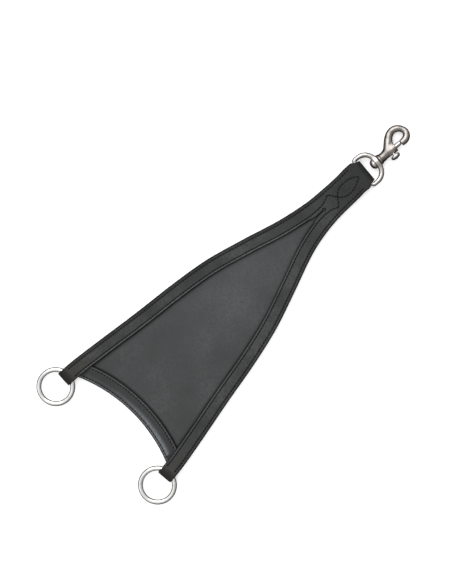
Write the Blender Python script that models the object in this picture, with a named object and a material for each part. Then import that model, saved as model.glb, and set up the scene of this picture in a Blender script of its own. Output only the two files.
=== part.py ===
"""Bib martingale attachment: a split leather strap with a centre panel, two rings and a swivel snap.

It lies on its back. +Y runs along its length towards the snap, +X is the side of the snap's thumb
knob and +Z is the front. Plan positions below are in millimetres, with y measured from the line
through the two ring centres; the assembly empty moves everything to the middle of the length.
"""

import math

import bmesh
import bpy
from mathutils import Matrix, Vector

MM = 0.001

# Frame
MIDDLE_Y = 209.1          # half way between the rings' far edge and the hook's top
METAL_Z = 5.7             # height of every ring, eye and swivel axis above the resting plane
GAP = 0.3                 # clearance between neighbouring pieces

# Strap outline: half width of the whole yoke, and how far its middle line leans towards +X
HALF_WIDTH = [(12, 79.6), (30, 78.2), (60, 73.8), (110, 65.5), (160, 58.0), (200, 49.9), (240, 37.5),
              (280, 24.3), (310, 18.1), (335, 16.2), (375, 16.0)]
LEAN = [(0, 0.0), (60, -0.1), (150, -1.0), (220, -2.1), (285, -2.4), (325, -1.0), (345, 0.0), (368, 0.9)]
LEG_WIDTH = 16.2
SPLIT_Y = 320.0
SPLIT_HALF_GAP = 0.6
SPLIT_HOLE_R = 1.5
SEAM_FREE_NEAR = 5.2      # the lining's flat strip between a leg's two seams, from the outer edge
SEAM_FREE_FAR = 12.1
MARGIN_LIFT = 0.1         # the lining is this much thinner at its sewn margins

# Layers, from the back: lining, panel, hem, front strap
BACK_Z = 0.8
LINING_T = 1.8
PANEL_Z = 2.9
PANEL_T = 1.6
HEM_Z = 4.8
HEM_T = 1.4
FRONT_Z = 4.8
FRONT_T = 2.2

# Rings and the folds round them
RING_R = 17.5
RING_WIRE_R = 2.5
RING_PIVOT = 16.35        # ring centre to the pivot line in the fold
RING_FOLD_Y = 16.4
RING_FOLD_R = 3.9
RING_FOLD_T = 1.8
RING_RAMP_Y = 64.0        # the front layer starts to rise here towards the ring
RING_RAMP_ROWS = [56.0, 48.0, 40.0, 32.0, 25.0, 20.0, RING_FOLD_Y]
TURNBACK_ROWS = [RING_FOLD_Y, 20.0, 25.0, 30.0]
LEG_TURNBACK_Y = 52.0

# Neck fold round the eye's bar
EYE_TILT = math.radians(6.2)
BAR = (1.5, 374.5)
BAR_FOLD_R = 2.65
NECK_RAMP_Y = 342.0
NECK_TILT_Y = BAR[1] - 10
NECK_TURNBACK_Y = 338.0
FOLD_HALF_WIDTH = 13.3
FOLD_NECK = [(-8.0, 16.0), (-6.5, 15.8), (-3.3, 13.3), (0.0, 13.3)]

# Panel and hem
PANEL_LOW_Y = 28.0
PANEL_TOP_Y = 352.0
EDGE_INSET = 0.3
HEM_CENTRE_Y = -127.8
HEM_LOW_R = 163.0
HEM_HIGH_R = 179.0
HEM_ANGLE = math.radians(23.0)
HEM_PANEL_ANGLE = math.radians(21.5)

# Seams, measured inwards from the strap's outer edge
OUTER_SEAM_IN = 3.7
INNER_SEAM_IN = 13.6
SEAM_LOW_Y = 25.0
HEM_SEAM_IN = 2.7
HEM_UPPER_SEAM_END_X = 58.6
HEM_LOWER_SEAM_END_X = 60.2
THREAD_HALF_W = 0.35
THREAD_T = 0.3
THREAD_LIFT = 0.15
THREAD_CROSS_LIFT = 0.34

# Half of the ribbon figure sewn on the neck: (distance from the middle line, y)
RIBBON_LEG = [(4.4, 317), (4.8, 322), (6.0, 327), (7.9, 331), (8.6, 332.2), (8.1, 333.1)]
RIBBON_CROSS_Y = 338.4
RIBBON_LOOP = [(4.2, 343.4), (5.9, 347.5), (6.2, 351.5), (5.3, 357.5), (3.4, 363), (1.2, 367.2)]
RIBBON_TIP_Y = 368.2

# Swivel eye
EYE_HALF_W = 15.9
EYE_TOP = 18.0
EYE_WIRE_R = 2.3
EYE_FOOT_R = 2.6
EYE_SHOULDER_R = 12.7
BOSS_R = 4.7
BOSS_LOW = 15.6
BOSS_HIGH = 20.4
BOSS_BORE_R = 2.4

# Swivel post, snap body, bolt and knob: distances along the swivel axis from the eye's bar
SNAP_ROLL = math.radians(7.8)
POST_HEAD_R = 5.3
POST_HEAD_LOW = 10.4
POST_R = 2.1
POST_PLUG_R = 3.0
POST_TOP = 23.6
BARREL_LOW = 20.7
BARREL_HIGH = 42.3
BARREL_BORE_R = 3.3
MOUTH_R = 2.65
MOUTH_LOW = 41.1
BOLT_R = 2.35
BOLT_TAIL_R = 3.0
BOLT_TAIL_LOW = 33.5
BOLT_TIP = 49.4
KNOB_AT = 36.3
BOLT_TRAVEL = 7.2
SLOT_HALF_W = 1.8
STEM_R = 1.5
SPRING_R = 2.5
SPRING_WIRE_R = 0.3
SPRING_TURNS = 5
SPRING_SIDES = 5

# The hook's middle line from inside the barrel round to its tip: (x, distance along, radius)
HOOK = [(-0.9, 31.0, 3.6), (-3.2, 34.6, 4.3), (-6.5, 38.2, 4.6), (-10.6, 42.0, 4.3), (-13.6, 46.0, 3.9),
        (-14.8, 50.6, 3.8), (-13.9, 54.8, 3.6), (-11.2, 58.2, 3.3), (-6.6, 60.4, 3.3), (-2.9, 59.6, 3.5),
        (-0.4, 57.3, 3.7), (0.9, 54.0, 3.7), (1.1, 49.8, 3.4)]
HOOK_FLATNESS = 0.94

# Facets
ROUND_STEPS = 12
FINE_STEPS = 20
BORE_STEPS = 16
FOLD_STEPS = 8
HEM_STEPS = 16
RING_STEPS = 40
WIRE_SIDES = 10
LEG_STEP = 15.0
NECK_STEP = 9.0
PANEL_STEP = 12.0


# ---------------------------------------------------------------- small helpers

def clear_scene():
    for old in list(bpy.data.objects):
        bpy.data.objects.remove(old, do_unlink=True)


def spline(points, at):
    """Smooth curve through points, a cubic between each pair of them."""
    last = len(points) - 1
    index = 0
    while index < last - 1 and at > points[index + 1][0]:
        index += 1

    def slope(i):
        low, high = max(i - 1, 0), min(i + 1, last)
        return (points[high][1] - points[low][1]) / (points[high][0] - points[low][0])

    x0, y0 = points[index]
    x1, y1 = points[index + 1]
    width = x1 - x0
    t = min(max((at - x0) / width, 0.0), 1.0)
    start = (2 * t ** 3 - 3 * t ** 2 + 1) * y0 + (t ** 3 - 2 * t ** 2 + t) * width * slope(index)
    end = (3 * t ** 2 - 2 * t ** 3) * y1 + (t ** 3 - t ** 2) * width * slope(index + 1)
    return start + end


def smooth_step(value):
    t = min(max(value, 0.0), 1.0)
    return t * t * (3 - 2 * t)


def steps_between(low, high, step=LEG_STEP):
    count = max(1, round(abs(high - low) / step))
    return [low + (high - low) * i / count for i in range(count + 1)]


def add_empty(name, parent, location=(0, 0, 0), rotation=(0, 0, 0)):
    empty = bpy.data.objects.new(name, None)
    empty.empty_display_size = 0.01
    empty.location = Vector(location) * MM
    empty.rotation_euler = rotation
    empty.parent = parent
    bpy.context.scene.collection.objects.link(empty)
    return empty


def add_material(name, color, roughness, metallic):
    material = bpy.data.materials.new(name)
    material.use_nodes = True
    shader = material.node_tree.nodes["Principled BSDF"]
    shader.inputs["Base Color"].default_value = (*color, 1.0)
    shader.inputs["Roughness"].default_value = roughness
    shader.inputs["Metallic"].default_value = metallic
    return material


def finish_object(name, bm, parent, material, sharp_angle=40):
    """Turn a bmesh in millimetres into an object in metres under its parent."""
    bmesh.ops.scale(bm, vec=(MM, MM, MM), verts=bm.verts)
    bmesh.ops.recalc_face_normals(bm, faces=bm.faces)
    mesh = bpy.data.meshes.new(name)
    bm.to_mesh(mesh)
    bm.free()
    mesh.shade_smooth()
    mesh.set_sharp_from_angle(angle=math.radians(sharp_angle))
    mesh.materials.append(material)
    piece = bpy.data.objects.new(name, mesh)
    piece.parent = parent
    bpy.context.scene.collection.objects.link(piece)
    return piece


def cut(piece, bm, name, operation="DIFFERENCE"):
    """Boolean a helper solid, modelled in the piece's own place, into the piece."""
    tool = finish_object(name, bm, piece.parent, piece.data.materials[0])
    tool.hide_render = True
    tool.display_type = "WIRE"
    boolean = piece.modifiers.new(name, "BOOLEAN")
    boolean.operation = operation
    boolean.solver = "EXACT"
    boolean.object = tool


def thick_sheet(pairs, quads):
    """Closed solid from (outer, inner) point pairs joined by quads, with walls round its border."""
    bm = bmesh.new()
    outer = [bm.verts.new(pair[0]) for pair in pairs]
    inner = [bm.verts.new(pair[1]) for pair in pairs]
    border = {}
    for quad in quads:
        bm.faces.new([outer[i] for i in quad])
        bm.faces.new([inner[i] for i in reversed(quad)])
        for a, b in zip(quad, quad[1:] + quad[:1]):
            if (b, a) in border:
                del border[(b, a)]
            else:
                border[(a, b)] = True
    for a, b in border:
        bm.faces.new([outer[b], outer[a], inner[a], inner[b]])
    return bm


def extruded_outline(points, low, high):
    bm = bmesh.new()
    face = bm.faces.new([bm.verts.new((x, y, low)) for x, y in points])
    extruded = bmesh.ops.extrude_face_region(bm, geom=[face])
    moved = [item for item in extruded["geom"] if isinstance(item, bmesh.types.BMVert)]
    bmesh.ops.translate(bm, vec=(0, 0, high - low), verts=moved)
    return bm


def lathe(profile, steps=ROUND_STEPS, axis="Y"):
    """Solid of revolution from (radius, distance) points; both ends lie on the axis."""
    bm = bmesh.new()
    rows = []
    for radius, along in profile:
        if radius == 0:
            rows.append([bm.verts.new((0, along, 0))])
            continue
        ring = []
        for i in range(steps):
            turn = 2 * math.pi * i / steps
            ring.append(bm.verts.new((radius * math.cos(turn), along, radius * math.sin(turn))))
        rows.append(ring)
    for low, high in zip(rows, rows[1:]):
        for i in range(steps):
            corners = [low[i % len(low)], low[(i + 1) % len(low)],
                       high[(i + 1) % len(high)], high[i % len(high)]]
            unique = list(dict.fromkeys(corners))
            bm.faces.new(unique)
    if axis == "X":
        bmesh.ops.rotate(bm, matrix=Matrix.Rotation(-math.pi / 2, 3, "Z"), verts=bm.verts)
    return bm


def cylinder(radius, low, high, steps=ROUND_STEPS, axis="Y"):
    return lathe([(0, low), (radius, low), (radius, high), (0, high)], steps, axis)


def tube(path, radii, sides, closed=False, flatness=1.0):
    """Round bar along a path that stays in one XY plane, or nearly so."""
    bm = bmesh.new()
    count = len(path)
    rings = []
    for i, point in enumerate(path):
        after = path[(i + 1) % count] if closed or i + 1 < count else point
        before = path[i - 1] if closed or i > 0 else point
        along = (Vector(after) - Vector(before)).normalized()
        side = along.cross(Vector((0, 0, 1))).normalized()
        up = side.cross(along)
        ring = []
        for k in range(sides):
            turn = 2 * math.pi * (k + 0.5) / sides
            offset = side * math.cos(turn) + up * math.sin(turn) * flatness
            ring.append(bm.verts.new(Vector(point) + offset * radii[i]))
        rings.append(ring)
    last = count if closed else count - 1
    for i in range(last):
        low, high = rings[i], rings[(i + 1) % count]
        for k in range(sides):
            bm.faces.new([low[k], low[(k + 1) % sides], high[(k + 1) % sides], high[k]])
    if not closed:
        bm.faces.new(rings[0])
        bm.faces.new(rings[-1])
    return bm


# ---------------------------------------------------------------- leather outline

def outer_edge(side, y):
    return Vector((spline(LEAN, y) + side * spline(HALF_WIDTH, y), y))


def leg_frame(side, y):
    """A point on the leg's outer edge, the unit vector down the leg and the one into it."""
    down = (outer_edge(side, y - 1) - outer_edge(side, y + 1)).normalized()
    inward = Vector((side * down.y, -side * down.x))
    return outer_edge(side, y), down, inward


def leg_point(side, y, inset):
    edge, _, inward = leg_frame(side, y)
    return edge + inward * inset


def neck_point(y, offset):
    """A point at a distance from the neck's middle line, on a line square to it."""
    middle = Vector((spline(LEAN, y), y))
    slope = (spline(LEAN, y + 1) - spline(LEAN, y - 1)) / 2
    turn = math.atan(slope)
    return middle + Vector((math.cos(turn), -math.sin(turn))) * offset


def bar_point(offset, along):
    """A point in the tilted frame of the eye's bar."""
    across = Vector((math.cos(EYE_TILT), -math.sin(EYE_TILT)))
    up = Vector((math.sin(EYE_TILT), math.cos(EYE_TILT)))
    return Vector(BAR) + across * offset + up * along


def leg_front(y):
    """Underside height and thickness of the front layer along a leg."""
    rise = smooth_step((RING_RAMP_Y - y) / (RING_RAMP_Y - RING_FOLD_Y))
    top_of_fold = METAL_Z + RING_FOLD_R
    return FRONT_Z + (top_of_fold - FRONT_Z) * rise, FRONT_T + (RING_FOLD_T - FRONT_T) * rise


def leg_back(y):
    """Outer and inner height of the turned-back layer along a leg."""
    rise = smooth_step((y - RING_FOLD_Y) / (TURNBACK_ROWS[-1] - RING_FOLD_Y))
    low = METAL_Z - RING_FOLD_R - RING_FOLD_T
    return low + (BACK_Z - low) * rise, low + RING_FOLD_T + (BACK_Z + LINING_T - low - RING_FOLD_T) * rise


def neck_front(y):
    """Underside height of the front layer along the neck."""
    rise = smooth_step((y - NECK_RAMP_Y) / (BAR[1] - 2 - NECK_RAMP_Y))
    return FRONT_Z + (METAL_Z + BAR_FOLD_R - FRONT_Z) * rise


def leg_rows():
    return steps_between(SPLIT_Y - PANEL_STEP, RING_RAMP_Y) + RING_RAMP_ROWS


def neck_rows():
    return steps_between(SPLIT_Y, NECK_TILT_Y, NECK_STEP)


def faceted(profile, rows, y):
    """A profile's height where the leather runs straight from one row to the next."""
    rows = sorted(rows)
    for low, high in zip(rows, rows[1:]):
        if y <= high:
            share = (y - low) / (high - low)
            return profile(low) + (profile(high) - profile(low)) * share
    return profile(rows[-1])


def front_top(y):
    """Height of the front surface."""
    if y < SPLIT_Y:
        return faceted(lambda at: sum(leg_front(at)), leg_rows() + [SPLIT_Y], y)
    fold_rows = [BAR[1] + along for along, _ in FOLD_NECK]
    return faceted(neck_front, neck_rows() + fold_rows, y) + FRONT_T


def back_surface(y):
    """Height of the back surface."""
    if y < SPLIT_Y:
        return faceted(lambda at: leg_back(at)[0], TURNBACK_ROWS + [SPLIT_Y], y)
    return BACK_Z


def at_height(point, z):
    return Vector((point.x, point.y, z))


# ---------------------------------------------------------------- leather pieces

class Sheet:
    """Collects rows of (outer, inner) point pairs and the quads between neighbouring rows."""

    def __init__(self):
        self.pairs = []
        self.quads = []

    def row(self, outers, inners):
        first = len(self.pairs)
        self.pairs.extend(zip(outers, inners))
        return list(range(first, len(self.pairs)))

    def bridge(self, row, following):
        for i in range(len(row) - 1):
            self.quads.append([row[i], row[i + 1], following[i + 1], following[i]])

    def solid(self):
        return thick_sheet(self.pairs, self.quads)


def neck_columns(half_width):
    return [-half_width, -SPLIT_HALF_GAP, SPLIT_HALF_GAP, half_width]


def lining_columns(half_width):
    right = [SPLIT_HALF_GAP, half_width - SEAM_FREE_FAR, half_width - SEAM_FREE_NEAR, half_width]
    return [-x for x in reversed(right)] + right


def neck_row(sheet, y, outer_z, inner_z, columns=neck_columns):
    points = [neck_point(y, offset) for offset in columns(spline(HALF_WIDTH, y))]
    return sheet.row([at_height(p, outer_z) for p in points], [at_height(p, inner_z) for p in points])


def bar_row(sheet, along, half_width, outer_z, inner_z, outer_out=0.0, inner_out=0.0):
    columns = neck_columns(half_width)
    outers = [at_height(bar_point(offset, along + outer_out), outer_z) for offset in columns]
    inners = [at_height(bar_point(offset, along + inner_out), inner_z) for offset in columns]
    return sheet.row(outers, inners)


def leg_row(sheet, side, y, outer_z, inner_z, outer_out=0.0, inner_out=0.0):
    """A row across a leg, always from -X to +X, as the neck's rows run."""
    edge, down, inward = leg_frame(side, y)
    ends = [edge, edge + inward * LEG_WIDTH]
    if side > 0:
        ends.reverse()
    return sheet.row([at_height(p + down * outer_out, outer_z) for p in ends],
                     [at_height(p + down * inner_out, inner_z) for p in ends])


def lining_leg_row(sheet, side, y):
    """A lining row with a flat strip between the seams and thinner margins beside it."""
    edge, _, inward = leg_frame(side, y)
    margin_z = BACK_Z + MARGIN_LIFT
    columns = [(0, margin_z), (SEAM_FREE_NEAR, BACK_Z), (SEAM_FREE_FAR, BACK_Z), (LEG_WIDTH, margin_z)]
    if side > 0:
        columns.reverse()
    return sheet.row([at_height(edge + inward * inset, z) for inset, z in columns],
                     [at_height(edge + inward * inset, BACK_Z + LINING_T) for inset, _ in columns])


def add_neck_front(sheet):
    """The front of the neck from the split to the bar; returns its first and last rows."""
    first = None
    previous = None
    for y in neck_rows():
        low = neck_front(y)
        current = neck_row(sheet, y, low + FRONT_T, low)
        first = first or current
        if previous:
            sheet.bridge(previous, current)
        previous = current
    for along, half_width in FOLD_NECK:
        low = neck_front(BAR[1] + along)
        current = bar_row(sheet, along, half_width, low + FRONT_T, low)
        sheet.bridge(previous, current)
        previous = current
    return first, previous


def add_neck_fold(sheet, previous):
    """Round the bar and back behind the neck."""
    outer_r = BAR_FOLD_R + FRONT_T
    for i in range(1, FOLD_STEPS):
        turn = math.pi / 2 - math.pi * i / FOLD_STEPS
        current = bar_row(sheet, 0, FOLD_HALF_WIDTH, METAL_Z + outer_r * math.sin(turn),
                          METAL_Z + BAR_FOLD_R * math.sin(turn),
                          outer_r * math.cos(turn), BAR_FOLD_R * math.cos(turn))
        sheet.bridge(previous, current)
        previous = current
    for along, half_width in reversed(FOLD_NECK):
        ease = smooth_step(-along / 6)
        outer_z = METAL_Z - outer_r + (BACK_Z - METAL_Z + outer_r) * ease
        inner_z = METAL_Z - BAR_FOLD_R + (BACK_Z + LINING_T - METAL_Z + BAR_FOLD_R) * ease
        current = bar_row(sheet, along, half_width, outer_z, inner_z)
        sheet.bridge(previous, current)
        previous = current
    for y in steps_between(BAR[1] - PANEL_STEP, NECK_TURNBACK_Y, PANEL_STEP):
        current = neck_row(sheet, y, BACK_Z, BACK_Z + LINING_T)
        sheet.bridge(previous, current)
        previous = current


def add_leg_front(sheet, side, first):
    previous = first[:2] if side < 0 else first[2:]
    for y in leg_rows():
        low, thickness = leg_front(y)
        current = leg_row(sheet, side, y, low + thickness, low)
        sheet.bridge(current, previous)
        previous = current
    return previous


def add_leg_fold(sheet, side, previous):
    """Round the ring's wire and back behind the leg."""
    outer_r = RING_FOLD_R + RING_FOLD_T
    for i in range(1, FOLD_STEPS):
        turn = math.pi / 2 - math.pi * i / FOLD_STEPS
        current = leg_row(sheet, side, RING_FOLD_Y, METAL_Z + outer_r * math.sin(turn),
                          METAL_Z + RING_FOLD_R * math.sin(turn),
                          outer_r * math.cos(turn), RING_FOLD_R * math.cos(turn))
        sheet.bridge(current, previous)
        previous = current
    for y in TURNBACK_ROWS + [LEG_TURNBACK_Y]:
        outer_z, inner_z = leg_back(y)
        current = leg_row(sheet, side, y, outer_z, inner_z)
        sheet.bridge(current, previous)
        previous = current


def make_yoke_strap(parent, material):
    sheet = Sheet()
    first, last = add_neck_front(sheet)
    add_neck_fold(sheet, last)
    for side in (-1, 1):
        add_leg_fold(sheet, side, add_leg_front(sheet, side, first))
    yoke = finish_object("yoke_strap", sheet.solid(), parent, material)
    hole = cylinder(SPLIT_HOLE_R, -FRONT_Z - FRONT_T - 1, -FRONT_Z + 1, steps=10)
    bmesh.ops.rotate(hole, matrix=Matrix.Rotation(-math.pi / 2, 3, "X"), verts=hole.verts)
    bmesh.ops.translate(hole, vec=(spline(LEAN, SPLIT_Y), SPLIT_Y, 0), verts=hole.verts)
    cut(yoke, hole, "split_hole_cutter")
    return yoke


def make_yoke_lining(parent, material):
    sheet = Sheet()
    previous = None
    first = None
    for y in steps_between(SPLIT_Y, NECK_TURNBACK_Y - GAP * 2, NECK_STEP):
        current = neck_row(sheet, y, BACK_Z + MARGIN_LIFT, BACK_Z + LINING_T, lining_columns)
        first = first or current
        if previous:
            sheet.bridge(previous, current)
        previous = current
    half = len(first) // 2
    for side in (-1, 1):
        previous = first[:half] if side < 0 else first[half:]
        for y in steps_between(SPLIT_Y - PANEL_STEP, LEG_TURNBACK_Y + GAP * 2):
            current = lining_leg_row(sheet, side, y)
            sheet.bridge(current, previous)
            previous = current
    return finish_object("yoke_lining", sheet.solid(), parent, material)


def hem_point(radius, angle):
    return Vector((radius * math.sin(angle), HEM_CENTRE_Y + radius * math.cos(angle)))


def make_bib_panel(parent, material):
    rows = steps_between(PANEL_LOW_Y, PANEL_TOP_Y, PANEL_STEP)
    right = [outer_edge(1, y) - Vector((EDGE_INSET, 0)) for y in rows]
    left = [outer_edge(-1, y) + Vector((EDGE_INSET, 0)) for y in reversed(rows)]
    arc = []
    for i in range(HEM_STEPS + 1):
        angle = HEM_PANEL_ANGLE * (2 * i / HEM_STEPS - 1)
        arc.append(hem_point(HEM_LOW_R + EDGE_INSET, angle))
    return finish_object("bib_panel", extruded_outline(right + left + arc, PANEL_Z, PANEL_Z + PANEL_T),
                         parent, material)


def make_hem_strip(parent, material):
    sheet = Sheet()
    previous = None
    for i in range(HEM_STEPS + 1):
        angle = HEM_ANGLE * (2 * i / HEM_STEPS - 1)
        ends = [hem_point(HEM_HIGH_R, angle), hem_point(HEM_LOW_R, angle)]
        current = sheet.row([at_height(p, HEM_Z + HEM_T) for p in ends], [at_height(p, HEM_Z) for p in ends])
        if previous:
            sheet.bridge(previous, current)
        previous = current
    return finish_object("hem_strip", sheet.solid(), parent, material)


# ---------------------------------------------------------------- threads

def thread_solid(path, facing):
    """Flat strip along (point, surface height) pairs, just off the surface that it faces."""
    sheet = Sheet()
    previous = None
    last = len(path) - 1
    for i, (point, height) in enumerate(path):
        ahead = path[min(i + 1, last)][0]
        behind = path[max(i - 1, 0)][0]
        along = (ahead - behind).normalized()
        across = Vector((-along.y, along.x)) * THREAD_HALF_W
        near = height + facing * THREAD_LIFT
        far = near + facing * THREAD_T
        ends = [point + across, point - across]
        current = sheet.row([at_height(p, far) for p in ends], [at_height(p, near) for p in ends])
        if previous:
            sheet.bridge(previous, current)
        previous = current
    return sheet.solid()


def surface(y, facing):
    return front_top(y) if facing > 0 else back_surface(y)


def leg_seam(side, inset, facing):
    """A seam along a leg, from the ring up to the last row below the split."""
    rows = [y for y in reversed(leg_rows()) if y >= SEAM_LOW_Y]
    return [(leg_point(side, y, inset), surface(y, facing)) for y in rows]


def outer_seam(side, facing):
    path = leg_seam(side, OUTER_SEAM_IN, facing)
    for y in neck_rows():
        offset = side * (spline(HALF_WIDTH, y) - OUTER_SEAM_IN)
        path.append((neck_point(y, offset), surface(y, facing)))
    return path


def ribbon_half(side):
    """The ribbon from one leg's seam to the tip, as points beside the neck's middle line."""
    leg = [(side * x, y) for x, y in RIBBON_LEG]
    loop = [(-side * x, y) for x, y in RIBBON_LOOP]
    return leg + [(0, RIBBON_CROSS_Y)] + loop


def inner_seam(facing):
    """One thread: up the left leg, through the ribbon figure and down the right leg."""
    left = leg_seam(-1, INNER_SEAM_IN, facing)
    up = [(neck_point(y, x), surface(y, facing)) for x, y in ribbon_half(-1)]
    tip = [(neck_point(RIBBON_TIP_Y, 0), surface(RIBBON_TIP_Y, facing))]
    down = []
    for x, y in reversed(ribbon_half(1)):
        lift = THREAD_CROSS_LIFT * (1 - smooth_step(abs(y - RIBBON_CROSS_Y) / 5))
        down.append((neck_point(y, x), surface(y, facing) + facing * lift))
    right = list(reversed(leg_seam(1, INNER_SEAM_IN, facing)))
    return left + up + tip + down + right


def hem_seam(radius, end_x, facing):
    height = HEM_Z + HEM_T if facing > 0 else PANEL_Z
    path = []
    for i in range(HEM_STEPS + 1):
        angle = math.asin(end_x / radius) * (2 * i / HEM_STEPS - 1)
        path.append((hem_point(radius, angle), height))
    return path


def make_threads(parent, material):
    for facing, thread in ((1, "needle_thread"), (-1, "bobbin_thread")):
        seams = {
            "left_outer_seam": outer_seam(-1, facing),
            "right_outer_seam": outer_seam(1, facing),
            "ribbon_seam": inner_seam(facing),
            "hem_upper_seam": hem_seam(HEM_HIGH_R - HEM_SEAM_IN, HEM_UPPER_SEAM_END_X, facing),
            "hem_lower_seam": hem_seam(HEM_LOW_R + HEM_SEAM_IN, HEM_LOWER_SEAM_END_X, facing),
        }
        for seam, path in seams.items():
            finish_object(seam + "_" + thread, thread_solid(path, facing), parent, material)


# ---------------------------------------------------------------- rings and eye

def make_ring(name, side, parent, material):
    """The ring hangs from its fold and rests on the plane, so it tips down a little."""
    edge, down, inward = leg_frame(side, RING_FOLD_Y)
    pivot = edge + inward * (LEG_WIDTH / 2)
    tip = math.asin((METAL_Z - RING_WIRE_R) / (RING_PIVOT + RING_R))
    swing = add_empty(name + "_pivot", parent, (pivot.x, pivot.y, METAL_Z),
                      (tip, 0, math.atan2(down.x, -down.y)))
    circle = []
    for i in range(RING_STEPS):
        turn = 2 * math.pi * i / RING_STEPS
        circle.append((RING_R * math.cos(turn), RING_R * math.sin(turn) - RING_PIVOT, 0))
    return finish_object(name, tube(circle, [RING_WIRE_R] * RING_STEPS, WIRE_SIDES, closed=True), swing, material)


def arc_points(centre, radius, start, end, steps):
    points = []
    for i in range(steps + 1):
        turn = math.radians(start + (end - start) * i / steps)
        points.append((centre[0] + radius * math.cos(turn), centre[1] + radius * math.sin(turn), 0))
    return points


def make_swivel_eye(parent, material):
    foot_x = EYE_HALF_W - EYE_FOOT_R
    shoulder_x = EYE_HALF_W - EYE_SHOULDER_R
    shoulder_y = EYE_TOP - EYE_SHOULDER_R
    path = []
    path += arc_points((foot_x, EYE_FOOT_R), EYE_FOOT_R, -90, 0, 4)
    path += arc_points((shoulder_x, shoulder_y), EYE_SHOULDER_R, 0, 90, 8)
    path += arc_points((-shoulder_x, shoulder_y), EYE_SHOULDER_R, 90, 180, 8)
    path += arc_points((-foot_x, EYE_FOOT_R), EYE_FOOT_R, 180, 270, 4)
    bar = tube(path, [EYE_WIRE_R] * len(path), WIRE_SIDES, closed=True)
    eye = finish_object("swivel_eye", bar, parent, material)
    boss = lathe([(0, BOSS_LOW), (BOSS_R - 0.6, BOSS_LOW), (BOSS_R, BOSS_LOW + 0.8),
                  (BOSS_R, BOSS_HIGH - 0.8), (BOSS_R - 0.6, BOSS_HIGH), (0, BOSS_HIGH)], BORE_STEPS)
    cut(eye, boss, "eye_boss", "UNION")
    cut(eye, cylinder(BOSS_BORE_R, BOSS_LOW - 2, BOSS_HIGH + 2, BORE_STEPS), "eye_bore_cutter")
    return eye


# ---------------------------------------------------------------- snap

def make_swivel_post(parent, material):
    profile = [(0, POST_HEAD_LOW)]
    head_height = BOSS_LOW - GAP - POST_HEAD_LOW
    for i in range(1, 6):
        turn = math.radians(90 * i / 5)
        profile.append((POST_HEAD_R * math.sin(turn), POST_HEAD_LOW + head_height * 0.9 * (1 - math.cos(turn))))
    profile += [(POST_HEAD_R - 0.4, BOSS_LOW - GAP), (POST_R, BOSS_LOW - GAP), (POST_R, BARREL_LOW),
                (POST_PLUG_R, BARREL_LOW), (POST_PLUG_R, POST_TOP), (0, POST_TOP)]
    return finish_object("swivel_post", lathe(profile, BORE_STEPS), parent, material)


def barrel_profile():
    return [(0, BARREL_LOW), (5.2, BARREL_LOW), (5.5, BARREL_LOW + 0.4), (5.5, BARREL_LOW + 1.5),
            (5.1, 23.6), (4.8, 25.4), (4.8, 31.0), (5.0, 36.0), (5.0, BARREL_HIGH - 0.5),
            (4.6, BARREL_HIGH), (0, BARREL_HIGH)]


def slot_cutter():
    """Stadium-shaped cutter through the barrel's +X wall."""
    low = KNOB_AT - BOLT_TRAVEL
    outline = []
    for i in range(7):
        turn = math.pi * i / 6
        outline.append((SLOT_HALF_W * math.cos(turn), KNOB_AT + SLOT_HALF_W * math.sin(turn)))
    for i in range(7):
        turn = math.pi + math.pi * i / 6
        outline.append((SLOT_HALF_W * math.cos(turn), low + SLOT_HALF_W * math.sin(turn)))
    cutter = extruded_outline(outline, 2.0, 7.5)
    bmesh.ops.rotate(cutter, matrix=Matrix.Rotation(math.pi / 2, 3, "Y"), verts=cutter.verts)
    return cutter


def make_snap_body(parent, material):
    body = finish_object("snap_body", lathe(barrel_profile(), FINE_STEPS), parent, material)
    path = [(x, y, 0) for x, y, _ in HOOK]
    hook = tube(path, [radius for _, _, radius in HOOK], ROUND_STEPS, flatness=HOOK_FLATNESS)
    cut(body, hook, "hook", "UNION")
    cut(body, cylinder(BARREL_BORE_R, BARREL_LOW - 1, MOUTH_LOW, BORE_STEPS), "bore_cutter")
    cut(body, cylinder(MOUTH_R, MOUTH_LOW - 1, BARREL_HIGH + 1, BORE_STEPS), "mouth_cutter")
    cut(body, slot_cutter(), "slot_cutter")
    return body


def make_bolt(parent, material):
    profile = [(0, BOLT_TAIL_LOW), (BOLT_TAIL_R, BOLT_TAIL_LOW), (BOLT_TAIL_R, MOUTH_LOW - GAP),
               (BOLT_R, MOUTH_LOW - GAP), (BOLT_R, BOLT_TIP - 0.8), (BOLT_R - 0.7, BOLT_TIP), (0, BOLT_TIP)]
    bolt = finish_object("bolt", lathe(profile, BORE_STEPS), parent, material)
    socket = cylinder(1.3, 0.5, BOLT_TAIL_R + 1, 10, axis="X")
    bmesh.ops.translate(socket, vec=(0, KNOB_AT, 0), verts=socket.verts)
    cut(bolt, socket, "stud_socket_cutter")
    return bolt


def make_thumb_knob(parent, material):
    profile = [(0, 0.8), (1.0, 0.8), (1.0, 3.2), (STEM_R, 3.2), (STEM_R, 6.2), (4.3, 6.2), (5.2, 7.3),
               (5.0, 8.8), (3.8, 10.1), (1.8, 10.7), (0, 10.8)]
    bm = lathe(profile, FINE_STEPS, axis="X")
    bmesh.ops.translate(bm, vec=(0, KNOB_AT, 0), verts=bm.verts)
    return finish_object("thumb_knob", bm, parent, material)


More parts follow.
